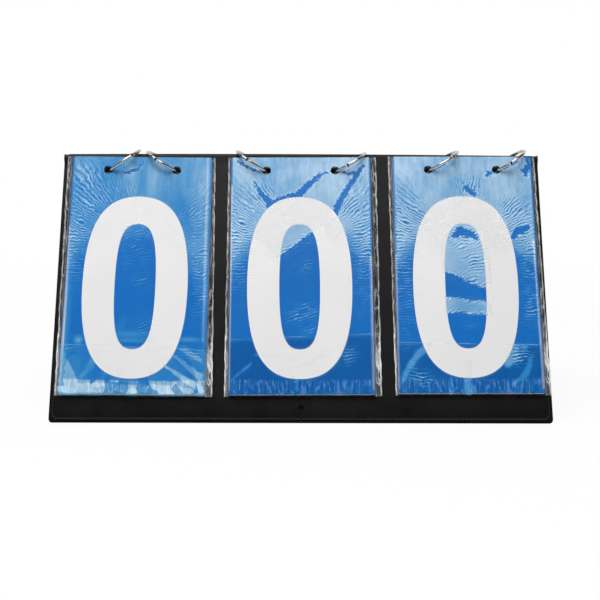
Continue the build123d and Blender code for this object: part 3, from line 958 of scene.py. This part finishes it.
def flap_values(deck, x, drop):
    """The second layer under the flap's edge: painted glare patches, painted shade, and short folds along
    the foot with painted glints.
    """
    side = np.abs(x) - CARD_WIDTH / 2
    onto_card = smoothstep(0.5, -0.3, side)
    edge = drop - np.interp(x, (-CARD_WIDTH / 2, CARD_WIDTH / 2), FLAPS[deck])
    sheen = np.zeros_like(x)
    for path, level in SHEENS[deck]:
        field = path_field(x, drop, path) + 0.5 * waves(x, drop, 6, 12)
        sheen = np.maximum(sheen, level * smoothstep(0.6, -0.5, field))
    foot = smoothstep(153.6, 154.8, drop - 0.5 * waves(x, drop, 40, 9)) * onto_card
    foot = foot * smoothstep(CARD_HEIGHT + 0.3, CARD_HEIGHT - 0.3, drop)
    flange = smoothstep(0.5, 1.3, side)
    creased = 1.0 if deck == "left" else 0.0
    values = film_values(deck, x, drop)
    values["haze"] = 0.02 + sheen + creased * (0.05 + 0.05 * foot)
    values["bare_and_ring_shadow"] = np.full_like(x, 9.0)
    values["streak"] = 0.08 * foot
    values["crinkle_glint"] = 0.15 * foot + 0.2 * flange
    values["fold"] = 0.12 * flange
    values["facet_sheen"] = creased * (0.10 * onto_card + 0.30 * foot + 0.2 * sheen)
    # Painted shade: darker print under the flap of the middle and right decks.
    values["shade"] = (1 - creased) * onto_card * smoothstep(-1, 3, edge)
    # Painted highlight along the flap's edge, brighter on the right deck.
    line = 0.55 if deck == "right" else 0.3
    values["crease_highlight"] = line * smoothstep(0.5, 0.1, edge) * np.clip(0.6 + 0.6 * waves(x, drop, 22, 6), 0, 1)
    return values


def back_values(deck, x, drop):
    """The back sheet is much plainer than the front one."""
    values = {name: 0.2 * value for name, value in film_values(deck, x, drop).items()}
    values["crease_highlight"] = np.zeros_like(x)
    values["rim"] = np.ones_like(x)
    return values


def pierced_grid(points, rows, columns):
    """A sheet's quads less those in its two ring holes, whose edges are drawn in round."""
    flat = points.reshape(-1, 3)
    gone = np.zeros(len(flat), bool)
    for side in (-1, 1):
        middle = np.array([side * HOLE_PITCH / 2, -HOLE_DROP])
        away = flat[:, :2] - middle
        reach = np.hypot(away[:, 0], away[:, 1])
        near = (reach > FILM_HOLE - 0.75) & (reach < FILM_HOLE + 0.4)
        flat[near, :2] = middle + away[near] * (FILM_HOLE / reach[near])[:, None]
        gone |= reach < FILM_HOLE + 0.4
    return [f for f in grid_faces(rows, columns) if not all(gone[k] for k in f)]


def film_width(deck, drop):
    """The bag's left and right edges at a height."""
    left_top, left_foot, right_top, right_foot = FLANGES[deck]
    share = np.clip(drop / CARD_HEIGHT, 0, 1)
    ragged = 0.22 * waves(drop, drop * 0, 9, 21) + 0.15 * waves(drop, drop * 0, 31, 22)
    left = left_top + (left_foot - left_top) * share + ragged
    right = right_top + (right_foot - right_top) * share - ragged
    return left, right


def sheet_grid(deck, rows, face):
    """A sheet of the bag: x for each row of drops, with narrow columns in its welded side flanges."""
    half = CARD_WIDTH / 2 + 0.25
    flange = np.array([0, 0.06, 0.12, 0.25, 0.4, 0.55, 0.7, 0.85])
    left, right = film_width(deck, rows)
    middle = np.linspace(-half, half, 112)
    out_left = -half - left[:, None] * (1 - flange)
    out_right = half + right[:, None] * (1 - flange[::-1])
    x = np.concatenate([out_left, np.repeat(middle[None], len(rows), 0), out_right], axis=1)
    drop = np.repeat(rows[:, None], x.shape[1], 1)
    side = np.abs(x) - half
    low = smoothstep(110, 140, drop)
    crumple = (0.10 + 0.12 * low) * (1 + waves(x * 3, drop, 9, 31)) * smoothstep(0, 1.2, side)
    crumple = np.minimum(crumple, 0.35)
    past_foot = smoothstep(CARD_HEIGHT, CARD_HEIGHT + 0.7, drop)
    over = face + 0.012 * waves(x, drop, 18, 33) * smoothstep(0, 4, -side)
    z = np.where(side > 0.02, FILM_BACK + 0.05 + crumple, over)
    z = z + (FILM_BACK + 0.08 - z) * past_foot * (side <= 0.02)
    return np.stack([x, -drop, z], axis=-1), x, drop


def make_sleeve(deck):
    """The clear bag round a deck's first card: back and front sheets, and the flap folded over the foot."""
    foot = CARD_HEIGHT + FILM_FOOT
    points, faces, values = [], [], []

    def add(grid, x, drop, look):
        rows, columns = grid.shape[:2]
        first = sum(len(p) for p in points)
        kept = pierced_grid(grid, rows, columns)
        points.append(grid.reshape(-1, 3))
        faces.extend([k + first for k in f] for f in kept)
        values.append({key: np.ravel(v) for key, v in look(deck, x, drop).items()})

    past_foot = CARD_HEIGHT + np.array([0, 0.5, 0.9, FILM_FOOT])
    rows = np.concatenate([np.linspace(-0.4, CARD_HEIGHT - 0.6, 184), past_foot])
    add(*sheet_grid(deck, rows, FILM_FRONT), film_values)
    start = np.mean(FLAPS[deck])
    flap = np.concatenate([[0, 0.3, 0.6, 1.0], np.linspace(1.8, foot - start, 36)])
    grid, x, drop = sheet_grid(deck, start + flap, FILM_FRONT + 0.03)
    tilt = np.interp(x, (-CARD_WIDTH / 2, CARD_WIDTH / 2), FLAPS[deck]) - start
    level = 1 - flap[:, None] / flap[-1]
    drop = drop + tilt * level
    grid[..., 1] = -drop
    add(grid, x, drop, flap_values)
    grid, x, drop = sheet_grid(deck, np.linspace(-0.2, foot, 90), FILM_BACK)
    grid[..., 2] = FILM_BACK
    add(grid, x, drop, back_values)
    sleeve = mesh_piece(f"{deck}_film", np.concatenate(points), faces, FILM)
    for key in values[0]:
        point_values(sleeve.data, key, np.concatenate([v[key] for v in values]))
    sleeve.data.transform(Matrix.Scale(MM, 4))
    put(sleeve, card_frame(deck))
    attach(sleeve, f"{deck}_card_0")
    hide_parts(f"{deck}_sleeve")


# ======== stay cord

LOOP = [                        # the cord through a board's hole and round its foot: up it, out of it
    (-176.6, -0.8), (-174.2, -0.75), (-172.8, -0.9), (-172.7, 0.6), (-172.7, 2.6), (-172.8, 3.7),
    (-175.0, 3.4), (-178.4, 3.42), (-180.6, 3.3), (-181.15, 2.2), (-181.1, 0.6), (-181.1, -0.8),
    (-179.4, -0.75), (-177.4, -0.8),
]
YARNS = 3
YARN_OUT = 0.24                 # the cord's middle to a yarn's
YARN_RADIUS = 0.27
TWIST = 3.0                     # length of one turn


def smooth_line(points, step):
    """Points at even steps along the smooth spline that these points draw, in metres."""
    curve = bpy.data.curves.new("route", "CURVE")
    curve.dimensions = "3D"
    line = curve.splines.new("NURBS")
    line.points.add(len(points) - 1)
    for point, place in zip(line.points, points):
        point.co = (*place, 1)
    line.order_u = 3
    line.use_endpoint_u = True
    path = np.array([v.co[:] for v in curve_mesh(curve).vertices])
    along = length_along(path)
    even = np.linspace(0, along[-1], int(along[-1] / step) + 2)
    return np.stack([np.interp(even, along, path[:, k]) for k in range(3)], axis=-1)


def length_along(path):
    return np.concatenate([[0], np.cumsum(np.linalg.norm(np.diff(path, axis=0), axis=1))])


def across_line(path):
    """Two directions square to a line at each of its points, which don't turn round it."""
    ways = np.gradient(path, axis=0)
    ways = ways / np.linalg.norm(ways, axis=1)[:, None]
    side = np.array((0.36, 0.48, 0.8))
    sides = []
    for way in ways:
        side = side - way * side.dot(way)
        side = side / np.linalg.norm(side)
        sides.append(side)
    sides = np.array(sides)
    return sides, np.cross(ways, sides)


def tube(path, radius, round_count=7):
    """Points and faces of a tube along a line, closed at its ends."""
    one, two = across_line(path)
    turn = np.linspace(0, 2 * pi, round_count + 1)[:, None, None]
    points = (path + radius * (np.cos(turn) * one + np.sin(turn) * two)).transpose(1, 0, 2)[:, :-1]
    at = np.arange(points.shape[0] * round_count).reshape(points.shape[:2])
    beside = np.roll(at, -1, axis=1)
    quads = np.stack([at[:-1], beside[:-1], beside[1:], at[1:]], axis=-1).reshape(-1, 4).tolist()
    return points.reshape(-1, 3), quads + [at[0, ::-1].tolist(), at[-1].tolist()]


def twisted(path):
    """Tubes of the yarns that twist round each other along a line."""
    one, two = across_line(path)
    tubes = []
    for yarn in range(YARNS):
        turn = 2 * pi * (yarn / YARNS + length_along(path) / (TWIST * MM))[:, None]
        middle = path + YARN_OUT * MM * (np.cos(turn) * one + np.sin(turn) * two)
        tubes.append(tube(middle, YARN_RADIUS * MM))
    return tubes


def knot_line(middle):
    """An overhand knot, pulled tight."""
    turn = np.linspace(0, 2 * pi, 19)
    x = np.sin(turn) + 2 * np.sin(2 * turn)
    y = np.cos(turn) - 2 * np.cos(2 * turn)
    z = -1.7 * np.sin(3 * turn)
    return smooth_line(np.array(middle) + 0.30 * MM * np.stack([x, y, z], axis=-1), 0.2 * MM)


def cord_piece(name, tubes):
    points, faces = [], []
    for part, part_faces in tubes:
        first = sum(len(p) for p in points)
        points.append(part)
        faces.extend([k + first for k in f] for f in part_faces)
    piece = mesh_piece(name, np.concatenate(points), faces, YARN)
    return piece


def make_cords():
    """A loop with its knot in each board, and the stay between the two knots."""
    knots = []
    for side, name in ((-1, "front"), (1, "back")):
        hand = -side
        place = board_frame(side)
        route = [place @ Vector((CORD_X, up, out)) for up, out in LOOP]
        middle = place @ Vector((CORD_X - hand * KNOT_STEP, -176.925, KNOT_OUT))
        knots.append(middle)
        strands = twisted(smooth_line(route, 0.25 * MM)) + twisted(knot_line(middle))
        loop = cord_piece(f"{name}_cord", strands)
        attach(loop, f"{name}_board")
        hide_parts(f"{name}_cord_loop")
    near, far = knots
    line = smooth_line([near, (near + far) / 2, far], 0.35 * MM)
    stay = cord_piece("stay_yarns", twisted(line))
    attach(stay, "front_board")
    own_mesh(stay)
    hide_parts("stay_cord")


# ======== carried-over nodes

def dress_nodes():
    """Gives the model's own pieces their materials."""
    looks = {"card": PRINT, "zero": INK, "chipboard": CHIPBOARD, "frame": NICKEL, "gate": NICKEL}
    for name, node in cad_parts.items():
        look = next((look for word, look in looks.items() if word in name), None)
        if look:
            node.data.materials.clear()
            node.data.materials.append(look)


# ======== stage

def make_stage():
    side = 3.0
    points = [(x, y, 0) for y in (-side, 0, side) for x in (-side, 0, side)]
    floor = mesh_piece("floor", points, grid_faces(3, 3), white_stage(), smooth=False)


def make_world():
    """A white background, dim on the camera's side of the studio and bright behind and overhead."""
    world = bpy.data.worlds.new("studio")
    bpy.context.scene.world = world
    world.use_nodes = True
    w = Nodes(world.node_tree)
    rays = w.add("LightPath").outputs
    way = w.add("SeparateXYZ", {0: w.add("TexCoord").outputs["Generated"]}).outputs
    soft = w.plus(w.ramp(way["Y"], -0.2, 0.5, 0.14, 0.55), w.ramp(way["Z"], 0.7, 1.0, 0.0, 0.45))
    shown = w.ramp(way["Y"], 0.1, 0.5, 0.07, 1.0)
    level = w.plus(soft, w.times(rays["Is Glossy Ray"], w.minus(shown, soft)))
    straight = w.larger(rays["Is Camera Ray"], rays["Is Transmission Ray"])
    level = w.plus(w.times(level, w.minus(1.0, straight)), straight)
    background = w.tree.nodes["Background"]
    background.inputs["Color"].default_value = (1, 1, 1, 1)
    w.join(level, background.inputs["Strength"])


def make_light():
    """A wide soft light overhead."""
    lamp = bpy.data.lights.new("overhead", "AREA")
    lamp.shape = "RECTANGLE"
    lamp.size, lamp.size_y = 1.3, 0.7
    lamp.energy = 17.5
    light = new_object("overhead", lamp)
    light.location = (-0.2, -0.5, 1.35)
    aim = Vector((0, -0.04, 0.09))
    light.rotation_euler = (aim - light.location).to_track_quat("-Z", "Y").to_euler()


def make_camera():
    camera = bpy.data.cameras.new("camera")
    camera.lens = 63.6
    camera.sensor_width = 36.0
    eye = new_object("camera", camera)
    eye.location = (-0.004457, -0.734921, 0.203788)
    eye.rotation_euler = Euler([radians(a) for a in (79.35579, -0.20283, -0.26713)])
    bpy.context.scene.camera = eye


make_cover()
make_numerals()
for deck in DECKS:
    make_sleeve(deck)
make_cords()
dress_nodes()
make_stage()
make_world()
make_light()
make_camera()
bpy.context.scene.view_settings.view_transform = "Standard"
